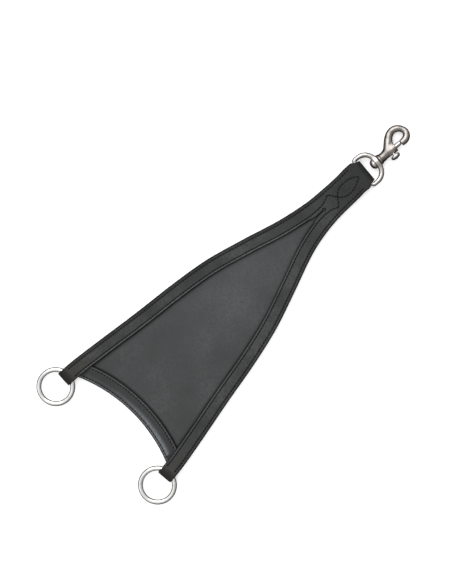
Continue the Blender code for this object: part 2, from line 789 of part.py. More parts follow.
def make_bolt_spring(parent, material):
    low = POST_TOP + GAP + SPRING_WIRE_R
    high = BOLT_TAIL_LOW - GAP - SPRING_WIRE_R
    steps = SPRING_TURNS * ROUND_STEPS
    bm = bmesh.new()
    rings = []
    for i in range(steps + 1):
        turn = 2 * math.pi * SPRING_TURNS * i / steps
        out = Vector((math.cos(turn), 0, math.sin(turn)))
        centre = out * SPRING_R + Vector((0, low + (high - low) * i / steps, 0))
        ring = []
        for k in range(SPRING_SIDES):
            around = 2 * math.pi * k / SPRING_SIDES
            ring.append(bm.verts.new(centre + (out * math.cos(around)
                                               + Vector((0, math.sin(around), 0))) * SPRING_WIRE_R))
        rings.append(ring)
    for first, second in zip(rings, rings[1:]):
        for k in range(SPRING_SIDES):
            after = (k + 1) % SPRING_SIDES
            bm.faces.new([first[k], first[after], second[after], second[k]])
    bm.faces.new(rings[0])
    bm.faces.new(rings[-1])
    return finish_object("bolt_spring", bm, parent, material)


# ---------------------------------------------------------------- assembly

def main():
    clear_scene()
    strap_leather = add_material("strap_leather", (0.028, 0.028, 0.03), 0.55, 0.0)
    panel_leather = add_material("panel_leather", (0.055, 0.058, 0.06), 0.5, 0.0)
    black_thread = add_material("black_thread", (0.012, 0.012, 0.013), 0.7, 0.0)
    nickel = add_material("nickel_plate", (0.72, 0.70, 0.66), 0.28, 1.0)
    spring_steel = add_material("spring_steel", (0.5, 0.5, 0.5), 0.35, 1.0)

    assembly = add_empty("martingale", None, (0, -MIDDLE_Y, 0))
    make_yoke_strap(assembly, strap_leather)
    make_yoke_lining(assembly, strap_leather)
    make_bib_panel(assembly, panel_leather)
    make_hem_strip(assembly, strap_leather)
    make_threads(assembly, black_thread)
    make_ring("ring_left", -1, assembly, nickel)
    make_ring("ring_right", 1, assembly, nickel)

    eye_pivot = add_empty("eye_pivot", assembly, (BAR[0], BAR[1], METAL_Z), (0, 0, -EYE_TILT))
    make_swivel_eye(eye_pivot, nickel)
    swivel = add_empty("swivel_axis", eye_pivot, (0, 0, 0), (0, -SNAP_ROLL, 0))
    make_swivel_post(swivel, nickel)
    make_snap_body(swivel, nickel)
    make_bolt_spring(swivel, spring_steel)
    bolt_slide = add_empty("bolt_slide", swivel)
    make_bolt(bolt_slide, nickel)
    make_thumb_knob(bolt_slide, nickel)


main()
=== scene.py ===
"""Looks for a bib martingale attachment: sewn black leather, polished rings and a cast swivel snap.

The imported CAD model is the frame. Every leather piece, row of stitches and casting below is a finer
piece standing for its CAD node, in the same place. Plan positions are in millimetres, with y
measured from the line through the two ring centres, as in the part's own source.
"""

import math
from dataclasses import dataclass

import bmesh
import bpy
import numpy as np
from mathutils import Matrix, Vector
from mathutils.kdtree import KDTree


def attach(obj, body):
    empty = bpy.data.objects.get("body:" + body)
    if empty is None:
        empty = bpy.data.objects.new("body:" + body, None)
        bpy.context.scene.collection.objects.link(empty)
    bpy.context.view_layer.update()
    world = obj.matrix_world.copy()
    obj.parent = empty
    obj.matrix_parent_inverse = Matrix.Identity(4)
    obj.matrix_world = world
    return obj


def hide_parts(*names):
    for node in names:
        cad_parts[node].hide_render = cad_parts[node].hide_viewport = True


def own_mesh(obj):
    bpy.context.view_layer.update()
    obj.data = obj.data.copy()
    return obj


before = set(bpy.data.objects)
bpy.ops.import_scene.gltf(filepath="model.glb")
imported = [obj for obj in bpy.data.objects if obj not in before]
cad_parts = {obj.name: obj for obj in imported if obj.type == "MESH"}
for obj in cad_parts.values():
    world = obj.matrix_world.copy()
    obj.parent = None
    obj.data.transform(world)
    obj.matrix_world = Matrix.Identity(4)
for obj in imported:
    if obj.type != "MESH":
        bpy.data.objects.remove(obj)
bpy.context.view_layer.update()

MM = 0.001

# ---------------- sizes shared with the part

MIDDLE_Y = 209.1
METAL_Z = 5.7
HALF_WIDTH = [(12, 79.6), (30, 78.2), (60, 73.8), (110, 65.5), (160, 58.0), (200, 49.9), (240, 37.5),
              (280, 24.3), (310, 18.1), (335, 16.2), (375, 16.0)]
LEAN = [(0, 0.0), (60, -0.1), (150, -1.0), (220, -2.1), (285, -2.4), (325, -1.0), (345, 0.0), (368, 0.9)]
LEG_WIDTH = 16.2
SPLIT_Y = 320.0
SPLIT_HOLE_R = 1.5

BACK_Z = 0.8
LINING_T = 1.8
PANEL_Z = 2.9
PANEL_T = 1.6
HEM_Z = 4.8
HEM_T = 1.4
FRONT_Z = 4.8
FRONT_T = 2.2

RING_R = 17.5
RING_WIRE_R = 2.5
RING_FOLD_Y = 16.4
RING_FOLD_R = 3.9
RING_FOLD_T = 1.8
RING_RAMP_Y = 64.0
LEG_BACK_FLAT_Y = 30.0
LEG_TURNBACK_Y = 52.0

EYE_TILT = math.radians(6.2)
BAR = (1.5, 374.5)
BAR_FOLD_R = 2.65
NECK_RAMP_Y = 342.0
NECK_TURNBACK_Y = 338.0
FOLD_NECK = [(-12.0, 16.0), (-3.8, 15.9), (-2.4, 14.7), (-1.2, 13.5), (0.0, 13.4)]
FOLD_TAPER = 1.1          # how much narrower each side of the strap gets round its fold

HEM_CENTRE_Y = -127.8
HEM_LOW_R = 163.0
HEM_HIGH_R = 179.0
HEM_ANGLE = math.radians(23.0)
HEM_PANEL_ANGLE = math.radians(21.5)
PANEL_LOW_Y = 28.0
PANEL_TOP_Y = 352.0
EDGE_INSET = 0.3

OUTER_SEAM_IN = 3.7
INNER_SEAM_IN = 13.6
SEAM_LOW_Y = 22.0
SEAM_HIGH_Y = 364.5
HEM_SEAM_IN = 2.7
HEM_UPPER_SEAM_END_X = 58.6
HEM_LOWER_SEAM_END_X = 60.2
RIBBON_LEG = [(4.8, 308), (4.4, 317), (4.8, 322), (6.0, 327), (7.9, 331), (8.6, 332.4)]
RIBBON_HEART = [(8.6, 332.4), (5.2, 335.2), (0, 338.4), (-4.2, 343.4), (-5.9, 347.5), (-6.2, 351.5),
                (-5.3, 357.5), (-3.4, 363), (-0.2, 368.2)]

BOSS_R = 4.7
BOSS_LOW = 15.6
BOSS_HIGH = 20.4
BOSS_BORE_R = 2.4
EYE_HALF_W = 15.9
EYE_TOP = 18.0
EYE_WIRE_R = 2.3
EYE_FOOT_R = 2.6
EYE_SHOULDER_R = 12.7
SNAP_ROLL = math.radians(7.8)
POST_HEAD_R = 5.3
POST_HEAD_LOW = 10.4
POST_R = 2.1
POST_PLUG_R = 3.0
POST_TOP = 23.6
BARREL_LOW = 20.7
BARREL_HIGH = 42.3
BARREL_BORE_R = 3.3
MOUTH_R = 2.65
MOUTH_LOW = 41.1
BOLT_R = 2.35
BOLT_TAIL_R = 3.0
BOLT_TAIL_LOW = 33.5
BOLT_TIP = 49.4
KNOB_AT = 36.3
BOLT_TRAVEL = 7.2
SLOT_HALF_W = 1.8
STEM_R = 1.5
SPRING_R = 2.5
SPRING_WIRE_R = 0.3
SPRING_TURNS = 5
GAP = 0.3
HOOK = [(-0.9, 31.0, 3.6), (-3.2, 34.6, 4.3), (-6.5, 38.2, 4.6), (-10.6, 42.0, 4.3), (-13.6, 46.0, 3.9),
        (-14.8, 50.6, 3.8), (-13.9, 54.8, 3.6), (-11.2, 58.2, 3.3), (-6.6, 60.4, 3.3), (-2.9, 59.6, 3.5),
        (-0.4, 57.3, 3.7), (0.9, 54.0, 3.7), (1.1, 49.8, 3.4)]
HOOK_FLATNESS = 0.94

# ---------------- sizes of the fine detail

ROW_STEP = 0.62           # mesh rows along a strap
COLUMN_STEP = 0.5         # mesh columns across it
EDGE_R = 0.75             # rounding of a cut and burnished edge
EYE_SWELL = 0.3           # the D's wire is thicker away from its bar
BOSS_HALF_T = 3.95        # the boss is flattened front to back
GROOVE_DEPTH = 0.3
GROOVE_HALF_W = 0.68
SEAM_MARK = 0.3           # spacing of the marks that record a seam's stitches
STRAP_PUCKER = 0.2        # how far the leather rises again between two stitches
HEM_PUCKER = 0.8
SLIT_HALF_GAP = 0.3
STITCH_PITCH = 3.3
STITCH_SHARE = 0.76       # a stitch's share of its pitch
STITCH_R = 0.45
STITCH_SIDES = 6
TURNED_STEPS = 64         # facets round a turned piece
CORNER_STEPS = 4          # points on the arc that rounds one of its corners
CASTING_VOXEL = 0.28      # mesh size on the snap body and the eye
SETTLE_ROUNDS = 7         # moves that bring a casting's mesh onto its smooth surface
RING_STEPS = 180
RING_SIDES = 28
SPRING_STEPS = 28         # points along each turn of the spring
SPRING_SIDES = 8
TABLE_CLEARANCE = 0.02
FAR_FROM_CUT = 99.0       # a row's distance to a cut end that it doesn't have
NECK_CROWN = 0.1          # how far a strap stands up along its middle
LEG_CROWN = 0.12
HEM_CROWN = 0.32
PANEL_PILLOW = 0.55
STRAP_WAVE = 0.07         # the hide's slow unevenness
HEM_WAVE = 0.05
PANEL_WAVE = 0.14
PANEL_EDGE_R = 0.5
HEM_EDGE_R = 0.6
EDGE_PAINT_W = 1.7        # width of the blackened edge
FOLD_SHADE = 0.6          # how much painted shade darkens the leather where it is bent over metal
NECK_DARKENING = 0.34         # and how much darker the neck grows towards its top
LIP_AT = 1.45             # where a painted highlight runs between a leg's inner edge and its seam
LIP_HALF_W = 0.45
LIP_SHEEN = {-1: 0.5, 1: 0.34}     # on the left leg and on the right one
PANEL_SHEEN = 0.15       # a painted sheen patch in the panel's middle
PANEL_SHEEN_AT = (-10, 194)
# strength of the painted highlight on the leather that rises between two stitches
PUCKER_SHEEN = 0.5
HEM_BAND_AT = 4.6         # the painted highlight band above the hem's lower seam
HEM_BAND_HALF_W = 2.2


# ---------------- curves and helpers

def spline(points, at):
    """Smooth curve through points, a cubic between each pair of them."""
    last = len(points) - 1
    index = 0
    while index < last - 1 and at > points[index + 1][0]:
        index += 1

    def slope(i):
        low, high = max(i - 1, 0), min(i + 1, last)
        return (points[high][1] - points[low][1]) / (points[high][0] - points[low][0])

    x0, y0 = points[index]
    x1, y1 = points[index + 1]
    width = x1 - x0
    t = min(max((at - x0) / width, 0.0), 1.0)
    start = (2 * t ** 3 - 3 * t ** 2 + 1) * y0 + (t ** 3 - 2 * t ** 2 + t) * width * slope(index)
    end = (3 * t ** 2 - 2 * t ** 3) * y1 + (t ** 3 - t ** 2) * width * slope(index + 1)
    return start + end


def smooth_step(value):
    t = min(max(value, 0.0), 1.0)
    return t * t * (3 - 2 * t)


def mix(a, b, share):
    return a + (b - a) * share


def full_turn(count):
    return [2 * math.pi * k / count for k in range(count)]


def steps_between(low, high, step):
    count = max(1, round(abs(high - low) / step))
    return [low + (high - low) * i / count for i in range(count + 1)]


def arc(x, y, radius, low, high, step):
    turns = steps_between(low, high, step)
    return [(x + radius * math.cos(turn), y + radius * math.sin(turn)) for turn in turns]


def circle(centre, out, up, radius, sides):
    """Points round a centre, in the plane of two unit vectors."""
    return [centre + (out * math.cos(turn) + up * math.sin(turn)) * radius for turn in full_turn(sides)]


def smooth_path(points, step):
    """Catmull-Rom curve through points of any dimension, sampled about every step."""
    knots = [np.array(p, float) for p in points]
    knots = [2 * knots[0] - knots[1]] + knots + [2 * knots[-1] - knots[-2]]
    path = []
    for before, start, end, after in zip(knots, knots[1:], knots[2:], knots[3:]):
        count = max(2, int(np.linalg.norm((end - start)[:2]) / step))
        for i in range(count):
            t = i / count
            path.append(0.5 * (2 * start + (end - before) * t
                               + (2 * before - 5 * start + 4 * end - after) * t ** 2
                               + (3 * start - before - 3 * end + after) * t ** 3))
    path.append(knots[-2])
    return path


def place(points):
    """Plan millimetres to metres in the row frame."""
    return (np.asarray(points, float) - (0, MIDDLE_Y, 0)) * MM


def new_object(name, data):
    thing = bpy.data.objects.new(name, data)
    bpy.context.scene.collection.objects.link(thing)
    return thing


def add_piece(name, points, faces, material, body, replaces=(), sharp_angle=None):
    """A mesh piece from points in metres, riding on its body and standing for its CAD nodes."""
    mesh = bpy.data.meshes.new(name)
    mesh.from_pydata([tuple(p) for p in points], [], faces)
    mesh.validate()
    bm = bmesh.new()
    bm.from_mesh(mesh)
    bmesh.ops.recalc_face_normals(bm, faces=bm.faces)
    bm.to_mesh(mesh)
    bm.free()
    mesh.shade_smooth()
    if sharp_angle:
        mesh.set_sharp_from_angle(angle=math.radians(sharp_angle))
    mesh.materials.append(material)
    piece = new_object(name, mesh)
    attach(piece, body)
    if replaces:
        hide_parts(*replaces)
    return piece


def tube_faces(count, sides, base=0, closed=False):
    """Quads between rings of points, with a cap at each end of an open tube."""
    faces = []
    for i in range(count if closed else count - 1):
        low, high = base + i * sides, base + (i + 1) % count * sides
        for k in range(sides):
            following = (k + 1) % sides
            faces.append((low + k, low + following, high + following, high + k))
    if not closed:
        faces.append(tuple(range(base, base + sides)))
        faces.append(tuple(range(base + (count - 1) * sides, base + count * sides)))
    return faces


def add_attribute(piece, name, values):
    attribute = piece.data.attributes.new(name, "FLOAT", "POINT")
    attribute.data.foreach_set("value", np.asarray(values, np.float32))


# ---------------- leather outline

def outer_edge(side, y):
    return Vector((spline(LEAN, y) + side * spline(HALF_WIDTH, y), y))


def leg_frame(side, y):
    """A point on the leg's outer edge, the unit vector down the leg and the one into it."""
    down = (outer_edge(side, y - 1) - outer_edge(side, y + 1)).normalized()
    inward = Vector((side * down.y, -side * down.x))
    return outer_edge(side, y), down, inward


def leg_point(side, y, inset):
    edge, _, inward = leg_frame(side, y)
    return edge + inward * inset


def neck_point(y, offset):
    """A point at a distance from the neck's middle line; near the eye the lines turn square to its bar."""
    middle = Vector((spline(LEAN, y), y))
    turn = math.atan((spline(LEAN, y + 1) - spline(LEAN, y - 1)) / 2)
    straight = middle + Vector((math.cos(turn), -math.sin(turn))) * offset
    share = smooth_step((y - 354) / 12)
    return straight.lerp(bar_point(offset, (y - BAR[1]) * math.cos(EYE_TILT)), share)


def bar_point(offset, along):
    """A point in the tilted frame of the eye's bar."""
    across = Vector((math.cos(EYE_TILT), -math.sin(EYE_TILT)))
    up = Vector((math.sin(EYE_TILT), math.cos(EYE_TILT)))
    return Vector(BAR) + across * offset + up * along


def neck_half_width(y):
    along = (y - BAR[1]) * math.cos(EYE_TILT)
    if along < FOLD_NECK[0][0]:
        return spline(HALF_WIDTH, y)
    return spline(FOLD_NECK, along)


def leg_front(y):
    """Underside and top height of the front layer along a leg."""
    rise = smooth_step((RING_RAMP_Y - y) / (RING_RAMP_Y - RING_FOLD_Y))
    low = mix(FRONT_Z, METAL_Z + RING_FOLD_R, rise)
    return low, low + mix(FRONT_T, RING_FOLD_T, rise)


def leg_back(y):
    """Outer and inner height of the turned-back layer along a leg."""
    rise = smooth_step((y - RING_FOLD_Y) / (LEG_BACK_FLAT_Y - RING_FOLD_Y))
    low = METAL_Z - RING_FOLD_R - RING_FOLD_T
    return mix(low, BACK_Z, rise), mix(low + RING_FOLD_T, BACK_Z + LINING_T, rise)


def neck_front(y):
    rise = smooth_step((y - NECK_RAMP_Y) / (BAR[1] - 2 - NECK_RAMP_Y))
    low = mix(FRONT_Z, METAL_Z + BAR_FOLD_R, rise)
    return low, low + FRONT_T


def neck_back(y):
    ease = smooth_step((BAR[1] - y) / 6)
    outer = METAL_Z - BAR_FOLD_R - FRONT_T
    return mix(outer, BACK_Z, ease), mix(outer + FRONT_T, BACK_Z + LINING_T, ease)


def slit_half_gap(y):
    """Half the gap between the legs, from where it closes up to the punched hole."""
    from_hole = SPLIT_HOLE_R ** 2 - (y - SPLIT_Y) ** 2
    if from_hole > SLIT_HALF_GAP ** 2:
        return math.sqrt(from_hole)
    return SLIT_HALF_GAP if y < SPLIT_Y else 0.0


# ---------------- seams

def leg_seam(side, inset, high):
    return [leg_point(side, y, inset) for y in steps_between(SEAM_LOW_Y, high, 1.0)]


def outer_seam(side):
    neck = []
    for y in steps_between(309.0, SEAM_HIGH_Y, 1.0):
        neck.append(neck_point(y, side * (neck_half_width(y) - OUTER_SEAM_IN)))
    return leg_seam(side, OUTER_SEAM_IN, 308.0) + neck


def ribbon_seams():
    """The inner seam as smooth stretches that meet at the figure's corners."""
    stretches = []
    for side in (-1, 1):
        foot = smooth_path([(side * x, y) for x, y in RIBBON_LEG], 0.5)
        figure = smooth_path([(side * x, y) for x, y in RIBBON_HEART], 0.5)
        stretches.append(leg_seam(side, INNER_SEAM_IN, 307.0) + [neck_point(y, x) for x, y in foot])
        stretches.append([neck_point(y, x) for x, y in figure])
    return stretches


def hem_point(radius, angle):
    return Vector((radius * math.sin(angle), HEM_CENTRE_Y + radius * math.cos(angle)))


def hem_seam(radius, end_x):
    end = math.asin(end_x / radius)
    return [hem_point(radius, angle) for angle in steps_between(-end, end, 0.5 / radius)]


HEM_SEAMS = {
    "upper": hem_seam(HEM_HIGH_R - HEM_SEAM_IN, HEM_UPPER_SEAM_END_X),
    "lower": hem_seam(HEM_LOW_R + HEM_SEAM_IN, HEM_LOWER_SEAM_END_X),
}
STRAP_SEAMS = {"left_outer": [outer_seam(-1)], "right_outer": [outer_seam(1)], "ribbon": ribbon_seams()}


def walk(line, pitch):
    """Points spaced evenly along a line, so that the first and last lie on its ends."""
    points = np.array([tuple(p) for p in line], float)
    lengths = np.concatenate([[0], np.cumsum(np.linalg.norm(np.diff(points, axis=0), axis=1))])
    count = max(1, round(lengths[-1] / pitch))
    marks = np.linspace(0, lengths[-1], count + 1)
    return np.stack([np.interp(marks, lengths, points[:, k]) for k in range(points.shape[1])], axis=1)


class SeamMap:
    """The nearest seam line to any plan point, and whether a stitch or a gap lies there."""

    def __init__(self, lines, pucker):
        self.pucker = pucker
        marks = []
        for line in lines:
            points = [np.array(tuple(p)) for p in walk(line, SEAM_MARK)]
            count = max(1, round(SEAM_MARK * (len(points) - 1) / STITCH_PITCH))
            marks += [(p, (i * count / (len(points) - 1)) % 1.0) for i, p in enumerate(points)]
        self.phases = [phase for _, phase in marks]
        self.tree = KDTree(len(marks))
        for i, (p, _) in enumerate(marks):
            self.tree.insert((p[0], p[1], 0), i)
        self.tree.balance()

    def groove(self, point):
        """How deep the seam presses the leather, which also sets its painted shade, and how strong a painted
        highlight is on the pucker between two stitches.
        """
        _, index, distance = self.tree.find((point[0], point[1], 0))
        near = math.exp(-(distance / GROOVE_HALF_W) ** 2)
        gap = smooth_step((abs(self.phases[index] - 0.5) - STITCH_SHARE / 2 + 0.06) / 0.12)
        return near * (1 - self.pucker * gap), near * gap * self.pucker


# ---------------- sheets of leather

class LeatherSheet:
    """A closed sheet built from rows of (outer, inner) point pairs, with rounded cut edges."""

    def __init__(self):
        self.outer = []
        self.inner = []
        self.dark = []
        self.sheen = []
        self.quads = []
        self.last_row = None

    def add(self, outer, inner, dark, sheen=0.0):
        self.outer.append(outer)
        self.inner.append(inner)
        self.dark.append(dark)
        self.sheen.append(sheen)
        return len(self.outer) - 1

    def bridge(self, row, following):
        for i in range(len(row) - 1):
            self.quads.append((row[i], row[i + 1], following[i + 1], following[i]))

    def add_row(self, row):
        if self.last_row:
            self.bridge(self.last_row, row)
        self.last_row = row

    def faces(self):
        """Outer quads, inner quads and the walls between them round every border."""
        count = len(self.outer)
        uses = {}
        faces = []
        for quad in self.quads:
            faces.append(quad)
            faces.append(tuple(i + count for i in reversed(quad)))
            for a, b in zip(quad, quad[1:] + quad[:1]):
                edge = (min(a, b), max(a, b))
                uses[edge] = uses.get(edge, 0) + 1
        for (a, b), used in uses.items():
            if used == 1:
                faces.append((b, a, a + count, b + count))
        return faces

    def build(self, name, material, replaces):
        points = place(self.outer + self.inner)
        piece = add_piece(name, points, self.faces(), material, "leather", replaces, 50)
        add_attribute(piece, "dye_and_painted_shade", self.dark + self.dark)
        add_attribute(piece, "painted_sheen", self.sheen + [0.0] * len(self.inner))


def rounding(distance, radius):
    """How far a rounded edge falls below the flat surface, at a distance from the cut."""
    if distance >= radius:
        return 0.0
    return radius * (1 - math.sqrt(1 - (1 - distance / radius) ** 2))


def band(distance, centre, half_width):
    """1 at a distance from an edge, falling to 0 on both sides of it."""
    return math.exp(-((distance - centre) / half_width) ** 2)


def columns_across(width):
    """Distances across a strip, closer together at its rounded edges."""
    near = [0.0, 0.1, 0.3, 0.55, 0.85, 1.15]
    middle = steps_between(1.5, width - 1.5, COLUMN_STEP)
    return near + middle + [width - d for d in reversed(near)]


def ripple(x, y):
    """Slow unevenness of a worked hide."""
    return (math.sin(x * 0.11 + y * 0.043) + math.sin(y * 0.071 - x * 0.05 + 1.7)
            + 0.6 * math.sin(y * 0.19 + x * 0.13 + 0.6)) / 2.6


HALF_COLUMNS = [d / LEG_WIDTH for d in columns_across(LEG_WIDTH)]
STRAP_SEAM_MAP = SeamMap([line for lines in STRAP_SEAMS.values() for line in lines], STRAP_PUCKER)


@dataclass
class StrapRow:
    """One row across half of the yoke: its two ends in plan, and both surfaces' offsets."""

    edge: Vector
    inner_end: Vector
    down: Vector
    outer: tuple
    inner: tuple
    open_inside: float = 1.0
    cut_distance: float = FAR_FROM_CUT
    # lip: strength of the painted highlight along the inner edge; turned: painted shade where the row is
    # bent over metal
    lip: float = 0.0
    turned: float = 0.0


def add_strap_row(sheet, row, crown, reuse=None):
    """Place a row's vertices; the last column is reused where the two halves join."""
    width = (row.inner_end - row.edge).length
    (outer_out, outer_z), (inner_out, inner_z) = row.outer, row.inner
    normal = Vector((row.down.x * (outer_out - inner_out), row.down.y * (outer_out - inner_out),
                     outer_z - inner_z))
    thickness = normal.length
    normal.normalize()
    radius = min(EDGE_R, thickness * 0.42)
    indices = []
    for share in HALF_COLUMNS:
        if reuse is not None and share == HALF_COLUMNS[-1]:
            indices.append(reuse)
            continue
        plan = row.edge.lerp(row.inner_end, share)
        from_outer, from_inner = share * width, (1 - share) * width
        fall = rounding(from_outer, radius)
        fall = max(fall, rounding(from_inner, radius) * row.open_inside, rounding(row.cut_distance, radius))
        groove, pucker = STRAP_SEAM_MAP.groove(plan)
        body = crown * math.sin(math.pi * share) if row.open_inside > 0 else crown
        lift = body + STRAP_WAVE * ripple(plan.x, plan.y) - GROOVE_DEPTH * groove - fall
        # Darker colour: black dye on the cut edges, painted shade in the seam grooves and over the folds,
        # and a darkening towards the neck's top
        painted = max(band(from_outer, 0, EDGE_PAINT_W), band(from_inner, 0, 0.7) * row.open_inside,
                      band(row.cut_distance, 0, EDGE_PAINT_W), row.turned,
                      NECK_DARKENING * smooth_step((plan.y - 316) / 30))
        # Painted highlights: along a leg's inner edge, and on the pucker between two stitches
        lip = band(from_inner, LIP_AT, LIP_HALF_W) * row.open_inside * row.lip
        shine = max(lip, PUCKER_SHEEN * pucker)
        outer = Vector((plan.x + row.down.x * outer_out, plan.y + row.down.y * outer_out, outer_z))
        inner = Vector((plan.x + row.down.x * inner_out, plan.y + row.down.y * inner_out, inner_z))
        surface = outer + normal * lift
        surface.z = max(surface.z, TABLE_CLEARANCE)
        underside = inner + normal * fall
        indices.append(sheet.add(tuple(surface), tuple(underside), max(groove, painted), shine))
    return indices


def front_rows(side):
    """Rows from just above the hole down to the ring's fold."""
    rows = []
    round_hole = steps_between(SPLIT_Y + SPLIT_HOLE_R, SPLIT_Y - SPLIT_HOLE_R, 0.25)
    below = steps_between(SPLIT_Y - 1.8, RING_FOLD_Y, ROW_STEP)
    for y in round_hole + below:
        edge, down, inward = leg_frame(side, y)
        across_leg = edge + inward * LEG_WIDTH
        across_neck = neck_point(y, side * slit_half_gap(y))
        inner_end = across_leg.lerp(across_neck, smooth_step((y - 303) / 7))
        if (inner_end.x - spline(LEAN, y)) * side < slit_half_gap(y):
            inner_end = across_neck
        low, top = leg_front(y)
        # painted highlight along the inner edge, and painted shade near the ring's fold
        lip = LIP_SHEEN[side] * smooth_step((y - 24) / 8) * smooth_step((308 - y) / 12)
        rows.append(StrapRow(edge, inner_end, down, (0, top), (0, low), lip=lip,
                             turned=FOLD_SHADE * smooth_step((RING_FOLD_Y + 6 - y) / 6)))
    return rows


def round_metal(inner_r, thickness, step):
    """Both surfaces of a layer bent round a bar, as (along, height) pairs from front to back."""
    outer, inner = [arc(0, METAL_Z, r, math.pi / 2, -math.pi / 2, step)[1:-1]
                    for r in (inner_r + thickness, inner_r)]
    return zip(outer, inner)


def ring_fold_rows(side):
    edge, down, inward = leg_frame(side, RING_FOLD_Y)
    return [StrapRow(edge, edge + inward * LEG_WIDTH, down, outer, inner, turned=FOLD_SHADE)
            for outer, inner in round_metal(RING_FOLD_R, RING_FOLD_T, 0.11)]


def leg_back_rows(side):
    """Rows of the turned-back end, from the ring's fold up to its cut."""
    rows = []
    for y in steps_between(RING_FOLD_Y, LEG_TURNBACK_Y, ROW_STEP):
        edge, down, inward = leg_frame(side, y)
        outer_z, inner_z = leg_back(y)
        rows.append(StrapRow(edge, edge + inward * LEG_WIDTH, down, (0, outer_z), (0, inner_z),
                             cut_distance=LEG_TURNBACK_Y - y))
    return rows


def neck_rows_up(side, profile, low, high, cut_at=None):
    rows = []
    for y in steps_between(low, high, ROW_STEP):
        outer_z, inner_z = profile(y)
        edge = neck_point(y, side * neck_half_width(y))
        open_inside = 1 - smooth_step((y - SPLIT_Y - SPLIT_HOLE_R) / 1.5)
        cut_distance = FAR_FROM_CUT if cut_at is None else abs(y - cut_at)
        # painted shade near the fold round the eye's bar
        turned = FOLD_SHADE * smooth_step((y - BAR[1] + 4) / 5)
        rows.append(StrapRow(edge, neck_point(y, 0), Vector((0, -1)), (0, outer_z), (0, inner_z),
                             open_inside, cut_distance, turned=turned))
    return rows


def neck_fold_rows(side):
    rows = []
    down = Vector((math.sin(EYE_TILT), math.cos(EYE_TILT)))
    for outer, inner in round_metal(BAR_FOLD_R, FRONT_T, 0.13):
        narrowed = FOLD_TAPER * inner[0] / BAR_FOLD_R
        edge = bar_point(side * (FOLD_NECK[-1][1] - narrowed), 0)
        rows.append(StrapRow(edge, bar_point(0, 0), down, outer, inner, 0.0, turned=FOLD_SHADE))
    return rows


def add_chain(sheet, rows, crown, first=None, middle=None):
    """Add rows one after another; returns the list of index rows."""
    chain = []
    for number, row in enumerate(rows):
        reuse = middle[number][-1] if middle else None
        current = add_strap_row(sheet, row, crown, reuse)
        if chain or first:
            sheet.bridge(chain[-1] if chain else first, current)
        chain.append(current)
    return chain


def make_yoke(material):
    """The split strap: each half goes up the neck, round the eye and back, and down a leg."""
    sheet = LeatherSheet()
    left_chain = None
    for side in (-1, 1):
        neck = neck_rows_up(side, lambda y: tuple(reversed(neck_front(y))), SPLIT_Y + SPLIT_HOLE_R, BAR[1])
        neck += neck_fold_rows(side)
        neck += reversed(neck_rows_up(side, neck_back, NECK_TURNBACK_Y, BAR[1], cut_at=NECK_TURNBACK_Y))
        chain = add_chain(sheet, neck, NECK_CROWN, middle=left_chain)
        left_chain = left_chain or chain
        leg = front_rows(side)[1:] + ring_fold_rows(side) + leg_back_rows(side)
        add_chain(sheet, leg, LEG_CROWN, first=chain[0])
    sheet.build("yoke_leather", material, ["yoke_strap"])


def make_lining(material):
    """The same Y shape behind, flat, and cut to end against the strap's turned-back ends."""
    sheet = LeatherSheet()
    top = NECK_TURNBACK_Y - 2 * GAP
    flat = (BACK_Z, BACK_Z + LINING_T)
    left_chain = None
    for side in (-1, 1):
        neck = neck_rows_up(side, lambda y: flat, SPLIT_Y + SPLIT_HOLE_R, top, cut_at=top)
        chain = add_chain(sheet, neck, 0.0, middle=left_chain)
        left_chain = left_chain or chain
        leg = []
        low = LEG_TURNBACK_Y + 2 * GAP
        for row in front_rows(side)[1:]:
            if row.edge.y >= low:
                row.outer, row.inner = (0, flat[0]), (0, flat[1])
                row.cut_distance = row.edge.y - low
                leg.append(row)
        add_chain(sheet, leg, 0.0, first=chain[0])
    sheet.build("yoke_lining_leather", material, ["yoke_lining"])


def panel_bottom(share):
    """The panel's lower border, from one leg's outer edge along the hem's arc to the other's."""
    arc_end = hem_point(HEM_LOW_R + EDGE_INSET, HEM_PANEL_ANGLE)
    corner = outer_edge(1, PANEL_LOW_Y) - Vector((EDGE_INSET, 0))
    x = share * corner.x
    if abs(x) > arc_end.x:
        t = (abs(x) - arc_end.x) / (corner.x - arc_end.x)
        return mix(arc_end.y, corner.y, t)
    return HEM_CENTRE_Y + math.sqrt((HEM_LOW_R + EDGE_INSET) ** 2 - x * x)


def make_panel(material):
    """The centre panel, gently pillowed between the legs."""
    sheet = LeatherSheet()
    columns = [math.sin(math.pi / 2 * (i / 42 - 1)) * 0.35 + (i / 42 - 1) * 0.65 for i in range(85)]
    for v in [i / 170 for i in range(171)]:
        row = []
        for share in columns:
            low = panel_bottom(share)
            y = mix(low, PANEL_TOP_Y, v)
            half = spline(HALF_WIDTH, y) - EDGE_INSET
            x = mix(0, spline(LEAN, y), min(1, v * 4)) + share * half
            inner_half = max(half - LEG_WIDTH, 0.01)
            inside = max(0.0, 1 - (abs(share) * half / inner_half) ** 2) if y < 300 else 0.0
            above_hem = smooth_step((y - 52) / 60) * smooth_step((300 - y) / 120)
            wave = PANEL_WAVE * ripple(x * 0.8, y * 0.6) * min(1, inside * 4)
            fall = rounding(min((1 - abs(share)) * half, y - low + 0.02), PANEL_EDGE_R)
            lift = PANEL_PILLOW * inside * above_hem + wave
            # painted shade on the panel beside the legs' inner edges and above the hem's upper edge
            shade = 0.0
            if y < 306:
                gap = inner_half - abs(share) * half
                above = math.hypot(x, y - HEM_CENTRE_Y) - HEM_HIGH_R
                shade = max(math.exp(-max(gap, 0) / 1.1), band(max(above, 0), 0, 1.3))
            # a painted sheen patch in the panel's middle
            sheen_patch = PANEL_SHEEN * band(x, PANEL_SHEEN_AT[0], 30) * band(y, PANEL_SHEEN_AT[1], 62)
            front, back = PANEL_Z + PANEL_T + lift - fall, PANEL_Z + lift * 0.8 + fall
            row.append(sheet.add((x, y, front), (x, y, back), shade, sheen_patch))
        sheet.add_row(row)
    sheet.build("bib_panel_leather", material, ["bib_panel"])


